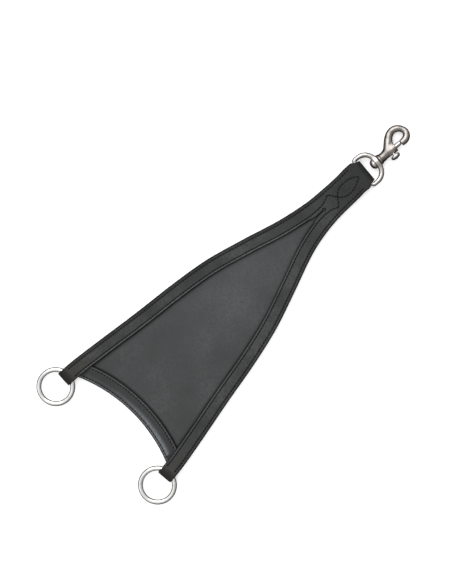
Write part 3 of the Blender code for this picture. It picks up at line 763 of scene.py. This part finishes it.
def make_hem(material):
    """The curved strip at the panel's lower edge, crowned between its seams, with painted highlight lines
    inside its edges and a painted highlight band above its lower seam.
    """
    sheet = LeatherSheet()
    seams = SeamMap(HEM_SEAMS.values(), HEM_PUCKER)
    width = HEM_HIGH_R - HEM_LOW_R
    for angle in steps_between(-HEM_ANGLE, HEM_ANGLE, ROW_STEP / HEM_LOW_R):
        row = []
        for from_top in columns_across(width):
            plan = hem_point(HEM_HIGH_R - from_top, angle)
            end_distance = (HEM_ANGLE - abs(angle)) * HEM_LOW_R
            fall = rounding(min(from_top, width - from_top, end_distance), HEM_EDGE_R)
            groove, pucker = seams.groove(plan)
            covered = smooth_step((abs(plan.x) - 57) / 3)
            crown = HEM_CROWN * math.sin(math.pi * from_top / width) + HEM_WAVE * ripple(plan.x, plan.y)
            lift = crown * (1 - covered) - GROOVE_DEPTH * groove - fall
            # black dye on the cut edges; the seam grooves get painted shade
            painted = max(band(from_top, 0, 1.1), band(width - from_top, 0, 1.0))
            # the painted highlight band is stronger towards the right
            sheen_amount = mix(0.12, 0.85, smooth_step((plan.x + 45) / 85)) * (1 - covered)
            sheen = band(width - from_top, HEM_BAND_AT, HEM_BAND_HALF_W) * sheen_amount
            # painted highlight lines just inside the lower and upper edges, and on the pucker between
            # stitches
            edge_highlight = max(0.9 * band(width - from_top, 1.5, 0.4), 0.5 * band(from_top, 1.5, 0.4))
            row.append(sheet.add((plan.x, plan.y, HEM_Z + HEM_T + lift), (plan.x, plan.y, HEM_Z + fall),
                                 max(groove, painted), max(sheen, edge_highlight, 0.35 * pucker)))
        sheet.add_row(row)
    sheet.build("hem_leather", material, ["hem_strip"])


# ---------------- stitches

def stitch_points(start, end):
    """One stitch as a thick, rounded thread that dives into the leather at both ends."""
    along = end - start
    length = along.length
    along.normalize()
    up = Vector((0, 0, 1))
    across = along.cross(up).normalized()
    rings = []
    for share, size, height in ((0.0, 0.35, -0.55), (0.1, 0.8, -0.15), (0.3, 1.0, 0.12), (0.5, 1.0, 0.2),
                                (0.7, 1.0, 0.12), (0.9, 0.8, -0.15), (1.0, 0.35, -0.55)):
        slant = across * (share - 0.5) * 0.35
        centre = start + along * (length * share) + up * height * STITCH_R + slant
        rings.append(circle(centre, across, up, STITCH_R * size, STITCH_SIDES))
    return rings


def make_stitches(name, lines, height_at, facing, material, node):
    """Rows of stitches along plan lines, on the surface that height_at gives."""
    points = []
    faces = []
    for line in lines:
        marks = walk(line, STITCH_PITCH)
        for first, second in zip(marks, marks[1:]):
            gap = (1 - STITCH_SHARE) / 2
            start, end = mix(first, second, gap), mix(first, second, 1 - gap)
            ends = [Vector((x, y, height_at(y) * facing)) for x, y in (start, end)]
            rings = stitch_points(ends[0], ends[1])
            faces += tube_faces(len(rings), STITCH_SIDES, base=len(points))
            for ring in rings:
                points.extend((p.x, p.y, p.z * facing) for p in ring)
    add_piece(name, place(points), faces, material, "leather", [node], 60)


def front_height(y):
    """Top of the front leather in a seam's groove."""
    top = neck_front(y)[1] if y > SPLIT_Y else leg_front(y)[1]
    return top + 0.1 - GROOVE_DEPTH + STITCH_R * 0.45


def back_height(y):
    """The back surface in a seam's groove; heights grow towards the front."""
    surface = BACK_Z if y > LEG_BACK_FLAT_Y else leg_back(y)[0]
    return surface + GROOVE_DEPTH - STITCH_R * 0.45


def make_all_stitches(material):
    hem_top = HEM_Z + HEM_T - GROOVE_DEPTH + STITCH_R * 0.6
    rows = [(seam, lines, front_height, back_height) for seam, lines in STRAP_SEAMS.items()]
    for seam, line in HEM_SEAMS.items():
        rows.append(("hem_" + seam, [line], lambda y: hem_top, lambda y: PANEL_Z))
    for seam, lines, front, back in rows:
        make_stitches(seam + "_stitches_front", lines, front, 1, material, seam + "_seam_needle_thread")
        make_stitches(seam + "_stitches_back", lines, back, -1, material, seam + "_seam_bobbin_thread")


# ---------------- metal

def bar_matrix():
    """The eye's frame: origin on its bar, Y towards the snap."""
    origin = Vector((BAR[0], BAR[1] - MIDDLE_Y, METAL_Z)) * MM
    return Matrix.Translation(origin) @ Matrix.Rotation(-EYE_TILT, 4, "Z")


def snap_matrix():
    return bar_matrix() @ Matrix.Rotation(-SNAP_ROLL, 4, "Y")


def to_world(points, matrix):
    """Millimetres in a local frame to metres in the row frame."""
    m = np.array(matrix)
    return np.asarray(points, float) * MM @ m[:3, :3].T + m[:3, 3]


def lathe_points(profile):
    """Points and faces turned about +Y from (radius, distance) pairs; both ends are on the axis."""
    points = []
    rows = []
    for radius, along in profile:
        if radius < 1e-6:
            points.append((0, along, 0))
            rows.append([len(points) - 1])
            continue
        rows.append(list(range(len(points), len(points) + TURNED_STEPS)))
        for turn in full_turn(TURNED_STEPS):
            points.append((radius * math.cos(turn), along, radius * math.sin(turn)))
    faces = []
    for low, high in zip(rows, rows[1:]):
        for i in range(TURNED_STEPS):
            corners = [low[i % len(low)], low[(i + 1) % len(low)],
                       high[(i + 1) % len(high)], high[i % len(high)]]
            faces.append(tuple(dict.fromkeys(corners)))
    return points, faces


def rounded_profile(corners, radius):
    """A turned profile with each inner corner replaced by a short arc."""
    result = [corners[0]]
    for before, corner, after in zip(corners, corners[1:], corners[2:]):
        here = Vector(corner)
        back, ahead = Vector(before) - here, Vector(after) - here
        reach = min(radius, back.length * 0.45, ahead.length * 0.45)
        start, end = here + back.normalized() * reach, here + ahead.normalized() * reach
        for i in range(CORNER_STEPS + 1):
            t = i / CORNER_STEPS
            result.append(tuple(start.lerp(here, t).lerp(here.lerp(end, t), t)))
    result.append(corners[-1])
    return result


def make_turned(name, corners, matrix, material, body, node, radius, axis="Y"):
    points, faces = lathe_points(rounded_profile(corners, radius))
    if axis == "X":
        points = [(y, KNOB_AT - x, z) for x, y, z in points]
    add_piece(name, to_world(points, matrix), faces, material, body, [node], 40)


def make_ring(name, node, body, material):
    """A drawn wire ring with its faint welded joint, set in the CAD ring's own plane."""
    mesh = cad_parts[node].data
    points = np.array([v.co for v in mesh.vertices])
    centre = points.mean(axis=0)
    normal = np.linalg.svd(points - centre)[2][2]
    normal *= np.sign(normal[2])
    first = np.cross((0, 1, 0), normal)
    first /= np.linalg.norm(first)
    second = np.cross(normal, first)
    verts = []
    for turn in full_turn(RING_STEPS):
        out = first * math.cos(turn) + second * math.sin(turn)
        weld = math.exp(-((turn - math.pi / 2) * RING_R / 0.7) ** 2)
        wire = (RING_WIRE_R + 0.12 * weld) * MM
        verts += circle(centre + out * RING_R * MM, out, normal, wire, RING_SIDES)
    faces = tube_faces(RING_STEPS, RING_SIDES, closed=True)
    add_piece(name, verts, faces, material, body, [node])


def smooth_min(a, b, blend):
    """Union of two distance fields with a fillet."""
    h = np.clip(0.5 + 0.5 * (b - a) / blend, 0, 1)
    return b + (a - b) * h - blend * h * (1 - h)


def smooth_max(a, b, blend):
    return -smooth_min(-a, -b, blend)


def bead_distance(points, beads, flatness=1.0):
    """Distance to a thick line given as closely spaced (centre, radius) beads."""
    flat = points / (1, 1, flatness)
    result = np.full(len(points), 1e9)
    for centre, radius in beads:
        result = np.minimum(result, np.linalg.norm(flat - centre, axis=1) - radius)
    return result


def eye_beads():
    """The D's wire as closely spaced beads."""
    half = arc(EYE_HALF_W - EYE_FOOT_R, EYE_FOOT_R, EYE_FOOT_R, -math.pi / 2, 0, 0.1)
    half += arc(EYE_HALF_W - EYE_SHOULDER_R, EYE_TOP - EYE_SHOULDER_R, EYE_SHOULDER_R, 0, math.pi / 2, 0.022)
    loop = half + [(-x, y) for x, y in reversed(half)]
    even = walk([Vector(p) for p in loop + loop[:1]], 0.3)
    return [(np.array((x, y, 0.0)), EYE_WIRE_R + EYE_SWELL * smooth_step((y - 4) / 6)) for x, y in even]


def eye_field(points):
    wire = bead_distance(points, EYE_BEADS)
    rho = np.hypot(points[:, 0], points[:, 2])
    oval = np.hypot(points[:, 0], points[:, 2] * BOSS_R / BOSS_HALF_T) * BOSS_HALF_T / BOSS_R
    boss = smooth_max(oval - BOSS_HALF_T, np.abs(points[:, 1] - (BOSS_LOW + BOSS_HIGH) / 2)
                      - (BOSS_HIGH - BOSS_LOW) / 2, 1.6)
    return smooth_max(smooth_min(wire, boss, 2.6), BOSS_BORE_R - rho, 0.3)


BARREL_RADII = [(20.7, 5.75), (21.8, 5.8), (22.6, 5.6), (23.8, 4.95), (25.4, 4.75), (31.0, 4.8), (36.0, 5.0),
                (42.3, 5.0)]


def snap_field(points):
    """The cast body: collar, barrel and hook in one, less its bore, mouth and thumb slot."""
    x, y, z = points.T
    rho = np.hypot(x, z)
    radius = np.interp(y, *zip(*BARREL_RADII))
    barrel = smooth_max(rho - radius, np.maximum(BARREL_LOW - y, y - BARREL_HIGH), 0.8)
    solid = smooth_min(barrel, bead_distance(points, HOOK_BEADS, HOOK_FLATNESS), 2.4)
    bore = np.maximum(rho - BARREL_BORE_R, np.maximum(BARREL_LOW - 5 - y, y - MOUTH_LOW))
    mouth = np.maximum(rho - MOUTH_R, np.maximum(MOUTH_LOW - 2 - y, y - BARREL_HIGH - 3))
    middle = np.clip(y, KNOB_AT - BOLT_TRAVEL, KNOB_AT)
    slot = np.maximum(np.hypot(z, y - middle) - SLOT_HALF_W, np.maximum(2.0 - x, x - 8))
    return smooth_max(solid, -np.minimum(np.minimum(bore, mouth), slot), 0.3)


EYE_BEADS = eye_beads()
HOOK_BEADS = [(np.array((x, y, 0.0)), r) for x, y, r in smooth_path(HOOK, 0.3)]


def settle_on(points, field):
    """Move points onto a distance field's surface, along its own slope."""
    step = 0.02
    for _ in range(SETTLE_ROUNDS):
        value = field(points)
        slope = np.stack([field(points + offset) - field(points - offset)
                          for offset in np.eye(3) * step], axis=1) / (2 * step)
        size = np.maximum((slope ** 2).sum(axis=1), 0.05)
        move = slope * (value / size)[:, None]
        length = np.linalg.norm(move, axis=1, keepdims=True)
        points = points - move * np.minimum(1, 0.25 / np.maximum(length, 1e-9))
    return points


def make_casting(name, node, field, matrix, material, body):
    """A smooth casting: the CAD node's own shape, remeshed finely and settled on its filleted field."""
    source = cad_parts[node]
    local = source.data.copy()
    local.transform(Matrix.Scale(1 / MM, 4) @ matrix.inverted())
    rough = new_object(name + "_rough", local)
    remesh = rough.modifiers.new("remesh", "REMESH")
    remesh.mode = "VOXEL"
    remesh.voxel_size = CASTING_VOXEL
    bpy.context.view_layer.update()
    evaluated = rough.evaluated_get(bpy.context.evaluated_depsgraph_get())
    mesh = bpy.data.meshes.new_from_object(evaluated)
    points = np.zeros(len(mesh.vertices) * 3)
    mesh.vertices.foreach_get("co", points)
    faces = [tuple(p.vertices) for p in mesh.polygons]
    bpy.data.objects.remove(rough)
    settled = settle_on(points.reshape(-1, 3), field)
    add_piece(name, to_world(settled, matrix), faces, material, body, [node])


def make_spring(material):
    """The wire helix in the barrel, on a mesh of its own; the real spring shortens as the bolt slides."""
    low = POST_TOP + GAP + SPRING_WIRE_R
    high = BOLT_TAIL_LOW - GAP - SPRING_WIRE_R
    steps = SPRING_TURNS * SPRING_STEPS
    points = []
    for i in range(steps + 1):
        turn = 2 * math.pi * i / SPRING_STEPS
        out = np.array((math.cos(turn), 0, math.sin(turn)))
        centre = out * SPRING_R + (0, low + (high - low) * i / steps, 0)
        points += circle(centre, out, np.array((0, 1, 0)), SPRING_WIRE_R, SPRING_SIDES)
    matrix = snap_matrix()
    spring = add_piece("spring_coil", to_world(points, matrix), tube_faces(steps + 1, SPRING_SIDES),
                       material, "snap", ["bolt_spring"])
    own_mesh(spring)


def make_snap(satin, eye_metal, bolt_metal, spring_steel):
    at = snap_matrix()
    make_casting("swivel_eye_casting", "swivel_eye", eye_field, bar_matrix(), eye_metal, "eye")
    make_casting("snap_casting", "snap_body", snap_field, at, satin, "snap")
    head = BOSS_LOW - GAP
    dome = [(POST_HEAD_R * math.sin(t), POST_HEAD_LOW + (head - POST_HEAD_LOW) * 0.86 * (1 - math.cos(t)))
            for t in steps_between(0, math.pi / 2, 0.12)]
    post = dome + [(POST_HEAD_R, head - 1.0), (POST_HEAD_R - 0.3, head - 0.4), (POST_HEAD_R - 1.1, head),
                   (POST_R, head), (POST_R, BARREL_LOW),
                   (POST_PLUG_R, BARREL_LOW), (POST_PLUG_R, POST_TOP), (0, POST_TOP)]
    make_turned("swivel_post_turned", post, at, eye_metal, "snap", "swivel_post", 0.15)
    tail_top = MOUTH_LOW - GAP
    bolt = [(0, BOLT_TAIL_LOW), (BOLT_TAIL_R, BOLT_TAIL_LOW), (BOLT_TAIL_R, tail_top), (BOLT_R, tail_top),
            (BOLT_R, BOLT_TIP - 0.9), (BOLT_R - 0.8, BOLT_TIP), (0, BOLT_TIP)]
    make_turned("bolt_rod", bolt, at, eye_metal, "bolt", "bolt", 0.3)
    knob = [(0, 2.4), (STEM_R, 2.4), (STEM_R, 5.7), (STEM_R + 0.5, 6.25), (4.2, 6.3), (4.9, 6.9), (5.2, 7.7),
            (5.1, 8.7), (4.5, 9.5), (3.6, 10.1), (3.1, 10.15), (2.8, 9.95), (2.2, 10.2), (1.2, 10.65),
            (0, 10.8)]
    make_turned("thumb_knob_turned", knob, at, bolt_metal, "bolt", "thumb_knob", 0.3, "X")
    make_spring(spring_steel)


# ---------------- materials

# the colour that painted highlights and sheen on the leather mix towards
LEATHER_SHEEN = (0.185, 0.198, 0.208)


def set_inputs(node, **values):
    """Set a node's inputs; an underscore in a name stands for a space."""
    for name, value in values.items():
        node.inputs[name.replace("_", " ")].default_value = value


class Look:
    """A material's node tree, or the world's, with the few kinds of node that they need."""

    def __init__(self, tree):
        self.nodes = tree.nodes
        self.links = tree.links
        self.shader = tree.nodes.get("Principled BSDF")

    def texture(self, kind, output, **values):
        """A texture node in the object's own metres."""
        where = self.nodes.new("ShaderNodeTexCoord")
        node = self.nodes.new(kind)
        set_inputs(node, **values)
        self.links.new(where.outputs["Object"], node.inputs["Vector"])
        return node, node.outputs[output]

    def noise(self, scale, detail, roughness=0.5):
        return self.texture("ShaderNodeTexNoise", "Fac", Scale=scale, Detail=detail, Roughness=roughness)[1]

    def cells(self, scale):
        node, distance = self.texture("ShaderNodeTexVoronoi", "Distance", Scale=scale)
        node.feature = "DISTANCE_TO_EDGE"
        return distance

    def attribute(self, name):
        node = self.nodes.new("ShaderNodeAttribute")
        node.attribute_name = name
        return node.outputs["Fac"]

    def axis(self, space, name):
        """One coordinate of the object's own space, or of a world direction."""
        where = self.nodes.new("ShaderNodeTexCoord")
        split = self.nodes.new("ShaderNodeSeparateXYZ")
        self.links.new(where.outputs[space], split.inputs["Vector"])
        return split.outputs[name]

    def remap(self, source, low, high, to_low, to_high):
        node = self.nodes.new("ShaderNodeMapRange")
        set_inputs(node, From_Min=low, From_Max=high, To_Min=to_low, To_Max=to_high)
        self.links.new(source, node.inputs["Value"])
        return node.outputs["Result"]

    def blend(self, fac, first, second):
        """Mix two colours, or a socket and a colour, by a factor socket."""
        node = self.nodes.new("ShaderNodeMix")
        node.data_type = "RGBA"
        self.links.new(fac, node.inputs["Factor"])
        for socket, value in ((node.inputs["A"], first), (node.inputs["B"], second)):
            if isinstance(value, tuple):
                socket.default_value = (*value, 1.0)
            else:
                self.links.new(value, socket)
        return node.outputs["Result"]

    def bumps(self, heights):
        """Stack bump nodes: (height socket, strength, distance in metres)."""
        normal = None
        for height, strength, distance in heights:
            bump = self.nodes.new("ShaderNodeBump")
            set_inputs(bump, Strength=strength, Distance=distance)
            self.links.new(height, bump.inputs["Height"])
            if normal:
                self.links.new(normal, bump.inputs["Normal"])
            normal = bump.outputs["Normal"]
        self.links.new(normal, self.shader.inputs["Normal"])

    def surface(self, colour, roughness=None):
        self.links.new(colour, self.shader.inputs["Base Color"])
        if roughness:
            self.links.new(roughness, self.shader.inputs["Roughness"])


def new_look(name):
    material = bpy.data.materials.new(name)
    material.use_nodes = True
    return material, Look(material.node_tree)


def make_leather(name, dark, light, groove, rough, grain=0.4, ends=None):
    """Dyed leather: cloudy colour, black-dyed edges, painted shade in seams, folds and beside other parts, a
    painted sheen, fine pebble grain, pores and soft wrinkles.
    """
    material, look = new_look(name)
    colour = look.blend(look.remap(look.noise(26, 4.0), 0.35, 0.65, 0, 1), dark, light)
    colour = look.blend(look.remap(look.noise(360, 4.0), 0.42, 0.66, 0, 0.75), colour, dark)
    if ends:
        colour = look.blend(look.remap(look.axis("Object", "Y"), -0.155, -0.185, 0, 0.5), colour, ends)
    # the dark colour gives black-dyed edges and painted shade in seam grooves, over folds and on the panel
    # beside the legs and the hem
    colour = look.blend(look.attribute("dye_and_painted_shade"), colour, groove)
    # painted highlights and sheen, broken up by fine noise
    sheen_amount = look.nodes.new("ShaderNodeMath")
    sheen_amount.operation = "MULTIPLY"
    look.links.new(look.attribute("painted_sheen"), sheen_amount.inputs[0])
    look.links.new(look.remap(look.noise(900, 3.0), 0.35, 0.6, 0.25, 1), sheen_amount.inputs[1])
    colour = look.blend(sheen_amount.outputs["Value"], colour, LEATHER_SHEEN)
    look.surface(colour, look.remap(look.noise(70, 5.0), 0.3, 0.7, *rough))
    set_inputs(look.shader, Specular_IOR_Level=0.15)
    pebbles = look.remap(look.cells(1500), 0.0, 0.12, 0, 1)
    look.bumps([(look.noise(210, 5.0, 0.6), 0.5, 0.0005), (pebbles, grain, 0.0002),
                (look.noise(3800, 2.0), 0.25, 0.0001)])
    return material


def make_thread_material():
    material, look = new_look("waxed_thread")
    twist = look.texture("ShaderNodeTexWave", "Fac", Scale=900, Distortion=1.5)[1]
    look.surface(look.blend(twist, (0.001, 0.001, 0.001), (0.004, 0.004, 0.004)))
    set_inputs(look.shader, Roughness=0.6, Specular_IOR_Level=0.1)
    look.bumps([(twist, 0.4, 0.0001)])
    return material


def make_metal(name, base, tarnish, rough, scratch=0.12):
    """Plated metal: slightly uneven colour, hazy patches and fine handling marks."""
    material, look = new_look(name)
    clouds = look.remap(look.noise(160, 4.0), 0.42, 0.7, 0, 1)
    set_inputs(look.shader, Metallic=1.0)
    look.surface(look.blend(clouds, base, tarnish), look.remap(look.noise(480, 5.0), 0.3, 0.7, *rough))
    look.bumps([(look.noise(1400, 4.0, 0.7), scratch, 0.00006)])
    return material


# ---------------- studio

TENT_BRIGHT = 1.08
TENT_DIM = 0.36
TENT_BELOW = 0.125        # what polished metal mirrors from below the horizon
FLOOR_HALF_SIZE = 6.0
FLOOR_Z = -0.0002
FLOOR_GLOW = 0.38         # keeps the pale floor white and its shadows faint
PICTURE_HEIGHT = 0.5957   # metres of the object's plane that the picture spans
PICTURE_CENTRE = (-0.0147, -0.0191)
PICTURE_TURN = 44.1       # degrees


def make_floor():
    material, look = new_look("floor_paper")
    set_inputs(look.shader, Base_Color=(0.9, 0.9, 0.9, 1), Roughness=0.9, Specular_IOR_Level=0.0,
               Emission_Color=(1, 1, 1, 1), Emission_Strength=FLOOR_GLOW)
    mesh = bpy.data.meshes.new("floor")
    half = FLOOR_HALF_SIZE
    corners = [(x, y, FLOOR_Z) for x, y in ((-half, -half), (half, -half), (half, half), (-half, half))]
    mesh.from_pydata(corners, [], [(0, 1, 2, 3)])
    mesh.materials.append(material)
    floor = new_object("floor", mesh)
    floor.visible_glossy = False


def make_world():
    """A light tent: bright overhead, dark below the horizon and dimmer on the knob's side."""
    world = bpy.data.worlds.new("studio")
    bpy.context.scene.world = world
    world.use_nodes = True
    look = Look(world.node_tree)
    ramp = look.nodes.new("ShaderNodeValToRGB")
    ramp.color_ramp.interpolation = "EASE"
    for element, position, level in zip(ramp.color_ramp.elements, (0.0, 0.5), (TENT_BELOW, 1)):
        element.position = position
        element.color = (level, level, level, 1)
    look.links.new(look.axis("Generated", "Z"), ramp.inputs["Fac"])
    side = look.remap(look.axis("Generated", "X"), -0.35, 0.85, TENT_BRIGHT, TENT_DIM)
    background = look.nodes["Background"]
    look.links.new(ramp.outputs["Color"], background.inputs["Color"])
    look.links.new(side, background.inputs["Strength"])


def add_light(name, location, size, energy):
    light = bpy.data.lights.new(name, "AREA")
    light.size = size
    light.energy = energy
    lamp = new_object(name, light)
    lamp.location = location
    lamp.rotation_euler = (-Vector(location)).to_track_quat("-Z", "Y").to_euler()
    return lamp


def make_lights():
    """A broad key from the upper left; the fill lights the leather only, with no mirror image."""
    add_light("key_softbox", (-1.1, 0.5, 1.4), 1.8, 22)
    fill = add_light("fill_softbox", (0.7, -0.9, 1.5), 1.0, 9)
    fill.visible_glossy = False


def make_camera():
    """Straight down, turned so that the strap points to the upper right."""
    camera = bpy.data.cameras.new("camera")
    camera.lens = 100
    camera.sensor_fit = "VERTICAL"
    camera.sensor_height = 36
    height = PICTURE_HEIGHT * camera.lens / camera.sensor_height
    holder = new_object("camera", camera)
    holder.location = (*PICTURE_CENTRE, height + 6 * MM)
    holder.rotation_euler = (0, 0, math.radians(PICTURE_TURN))
    bpy.context.scene.camera = holder
    bpy.context.scene.view_settings.view_transform = "Standard"


# ---------------- assembly

def main():
    strap = make_leather("strap_leather_fine", (0.0285, 0.03, 0.0293), (0.0545, 0.0568, 0.0556),
                         (0.001, 0.001, 0.001), (0.42, 0.6), ends=(0.043, 0.038, 0.035))
    lining = make_leather("lining_leather_fine", (0.012, 0.012, 0.012), (0.024, 0.023, 0.022),
                          (0.003, 0.003, 0.003), (0.6, 0.8), grain=0.7)
    panel = make_leather("panel_leather_fine", (0.0408, 0.0418, 0.0425), (0.056, 0.0575, 0.0585),
                         (0.002, 0.002, 0.002), (0.4, 0.55), grain=0.25)
    hem = make_leather("hem_leather_fine", (0.0275, 0.028, 0.0285), (0.0395, 0.0405, 0.041),
                       (0.001, 0.001, 0.001), (0.32, 0.48), grain=0.25)
    chrome = make_metal("polished_nickel", (0.93, 0.92, 0.9), (0.79, 0.775, 0.755), (0.07, 0.16), 0.05)
    satin = make_metal("satin_nickel", (0.34, 0.316, 0.297), (0.175, 0.162, 0.15), (0.2, 0.32), 0.3)
    eye_metal = make_metal("brushed_nickel", (0.6, 0.575, 0.55), (0.38, 0.36, 0.34), (0.14, 0.24), 0.2)
    bolt_metal = make_metal("bolt_nickel", (0.72, 0.7, 0.67), (0.52, 0.5, 0.46), (0.1, 0.2))
    spring_steel = make_metal("spring_steel", (0.5, 0.5, 0.5), (0.4, 0.38, 0.36), (0.25, 0.4))
    make_yoke(strap)
    make_lining(lining)
    make_panel(panel)
    make_hem(hem)
    make_all_stitches(make_thread_material())
    for side in ("left", "right"):
        make_ring("ring_" + side + "_wire", "ring_" + side, side + "_ring", chrome)
    make_snap(satin, eye_metal, bolt_metal, spring_steel)
    make_floor()
    make_world()
    make_lights()
    make_camera()


main()
